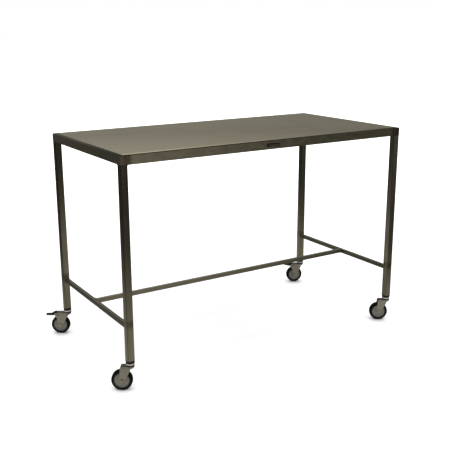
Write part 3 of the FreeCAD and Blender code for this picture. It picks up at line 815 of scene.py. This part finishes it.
def bolt_dome(caster):
    """The domed end of the axle bolt's head, in zinc coloured brighter than the bolt's as a painted
    highlight.
    """
    low, high = BOLT_FACE - 0.2, BOLT_FACE + 0.9
    outside = ((3.7, low), (3.7, BOLT_FACE + 0.1), (2.9, BOLT_FACE + 0.6), (1.4, high))
    shape = spun(in_mm(((0.001, low), *outside, (0.001, high))), 32)
    caster.on_wheel(shape)
    piece(f"bolt_dome_{caster.corner}", shape, DOME_ZINC_HIGHLIGHT, caster.on_body, "bolt_steel")


def pedal_pad(caster):
    """The moulded foot pad: rounded all round, with four grip ribs across its tip."""
    shape = slab(in_mm(PAD_OUTLINE), PAD_WIDTH)
    edges = [edge for edge in shape.edges if edge.calc_face_angle(0) > 1.2]
    round_off(shape, edges, PAD_EDGE, 3)
    reach = PAD_WIDTH * 0.42
    for step in range(4):
        across = (72 + 3.6 * step) * MM
        low = (across - RIB_HALF, -reach, 80.2 * MM)
        high = (across + RIB_HALF, reach, 81.8 * MM)
        rib = block(low, high)
        round_off(rib, rib.edges, RIB_EDGE, 2)
        join(shape, rib)
    caster.on_pedal(shape)
    body = f"pedal_{caster.corner}"
    made = piece(f"pedal_pad_{caster.corner}", shape, PEDAL_RUBBER, body, "pedal_plastic")
    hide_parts(f"pedal_cover_{caster.corner}")


def build_pieces():
    """Every piece that is shaped here."""
    top_panel()
    blank_label()
    brace_welds()
    leg_welds()
    for corner in CORNERS:
        caster = Caster(corner)
        tyre_and_centre(caster)
        axle_washers(caster)
        bolt_dome(caster)
        if f"pedal_cover_{corner}" in NODES:
            pedal_pad(caster)


# ------------------------------------------------------------------ floor, light, camera

# Tints of the room as bright steel sees it and as everything else does
WARM = (1, 0.97, 0.87)
COOL = (0.985, 0.99, 1)
FRONT_GLOW = Vector((0.40, -0.86, 0.32)).normalized()
AIM = Vector((-0.0127, 0.0156, 0.4345))
DISTANCE = 3.0615
YAW, PITCH, ROLL = math.radians(-32.23), math.radians(14.99), math.radians(-0.21)
LENS = 60.33


def add_camera():
    """The camera, above the table's top and to the left of it."""
    back = Vector((
        math.sin(YAW) * math.cos(PITCH),
        -math.cos(YAW) * math.cos(PITCH),
        math.sin(PITCH),
    ))
    camera = bpy.data.objects.new("camera", bpy.data.cameras.new("camera"))
    bpy.context.collection.objects.link(camera)
    camera.data.lens = LENS
    camera.location = AIM + back * DISTANCE
    turn = back.to_track_quat("Z", "Y")
    camera.rotation_euler = (turn.to_matrix() @ Matrix.Rotation(ROLL, 3, "Z")).to_euler()
    bpy.context.scene.camera = camera


def card(name, reach, height):
    """A level square of the stage, from -reach to reach."""
    shape = bmesh.new()
    level = Matrix.Translation((0, 0, height))
    bmesh.ops.create_grid(shape, x_segments=1, y_segments=1, size=reach, matrix=level)
    mesh = bpy.data.meshes.new(name)
    shape.to_mesh(mesh)
    shape.free()
    made = bpy.data.objects.new(name, mesh)
    bpy.context.collection.objects.link(made)
    return made


def add_floor():
    """A pale matt floor, with painted contact shadows close to where each wheel stands."""
    floor = card("floor", 60, 0)
    paint = Surface("floor_paint", Specular_IOR_Level=0, Emission_Strength=1)
    grit = paint.noise((3, 3, 3))
    coat(floor, paint.finish(paint.scaled((0.9, 0.9, 0.9), 1 + grit * 0.01), grit * 0.1 + 0.8))
    bright = paint.rise(paint.distance((0, 0, 0)), 1.2, 4.0, 0.37, 1)
    # Painted contact shadows: the floor's glow is dimmed close to where each wheel stands.
    for corner in CORNERS:
        under = (*Caster(corner).centre.xy, 0)
        bright = bright * paint.rise(paint.distance(under), 6 * MM, 55 * MM, 0.05, 1)
    paint.feed(paint.shader, "Emission Color", paint.scaled((1, 1, 1), bright))
    floor.visible_glossy = False


def add_floor_glow():
    """The glow that bright steel, and nothing else, sees in the floor: weaker under the table."""
    glow = card("floor_glow", 6, -0.002)
    lamp = Surface("floor_glow", Specular_IOR_Level=0, Emission_Strength=1)
    lamp.shader.inputs["Base Color"].default_value = (0, 0, 0, 1)
    across = lamp.rise(abs(lamp.part("X")), 0.45, 0.75, 1, 0)
    under = across * lamp.rise(abs(lamp.part("Y")), 0.2, 0.5, 1, 0)
    level = lamp.rise(lamp.distance((0, 0, 0)), 0.3, 1.9, 0.5, 0.05) * (1 - under * 0.5)
    lamp.feed(lamp.shader, "Emission Color", lamp.scaled(WARM, level))
    coat(glow, lamp.material)
    for ray in ("camera", "diffuse", "shadow", "transmission", "volume_scatter"):
        setattr(glow, f"visible_{ray}", False)


def add_softbox():
    """A wide square light overhead, which the steel does not mirror."""
    light = bpy.data.lights.new("overhead", "AREA")
    light.size = 6
    light.energy = 112
    lamp = bpy.data.objects.new("overhead", light)
    bpy.context.collection.objects.link(lamp)
    lamp.location = (0, 0, 4)
    lamp.visible_glossy = False
    lamp.visible_camera = False


def add_world():
    """A white room: to all but the camera, its walls fade towards the ground."""
    world = bpy.data.worlds.new("studio")
    bpy.context.scene.world = world
    world.use_nodes = True
    tree = Finish(world.node_tree)
    tree.tree.nodes.clear()
    direction = tree.node("ShaderNodeTexCoord", outlet="Generated")
    height, across = (
        tree.node("ShaderNodeSeparateXYZ", None, {0: direction}, outlet=axis) for axis in "ZX"
    )
    lift = tree.rise(height, 0.0, 0.3, 0.03, 0.44) + tree.rise(height, 0.3, 0.8, 0, 0.4)
    lift = lift * tree.rise(across, 0.3, 0.8, 1.15, 0.75)
    towards = {"operation": "DOT_PRODUCT"}
    front = tree.node("ShaderNodeVectorMath", towards, {0: direction, 1: FRONT_GLOW}, "Value")
    lift = lift + tree.rise(front, 0.84, 1.0, 0, 0.5)
    seen = tree.node("ShaderNodeLightPath", outlet="Is Camera Ray")
    in_steel = tree.node("ShaderNodeLightPath", outlet="Is Glossy Ray")
    tone = tree.blend(in_steel, COOL, WARM)
    colour = tree.blend(seen, tree.scaled(tone, lift), (1, 1, 1))
    background = tree.node("ShaderNodeBackground", None, {"Color": colour, "Strength": 1})
    tree.node("ShaderNodeOutputWorld", None, {"Surface": background})


def add_stage():
    """Everything round the table."""
    bpy.context.scene.view_settings.view_transform = "Standard"
    add_camera()
    add_floor()
    add_floor_glow()
    add_world()
    add_softbox()


coat_cad_nodes()
build_pieces()
add_stage()
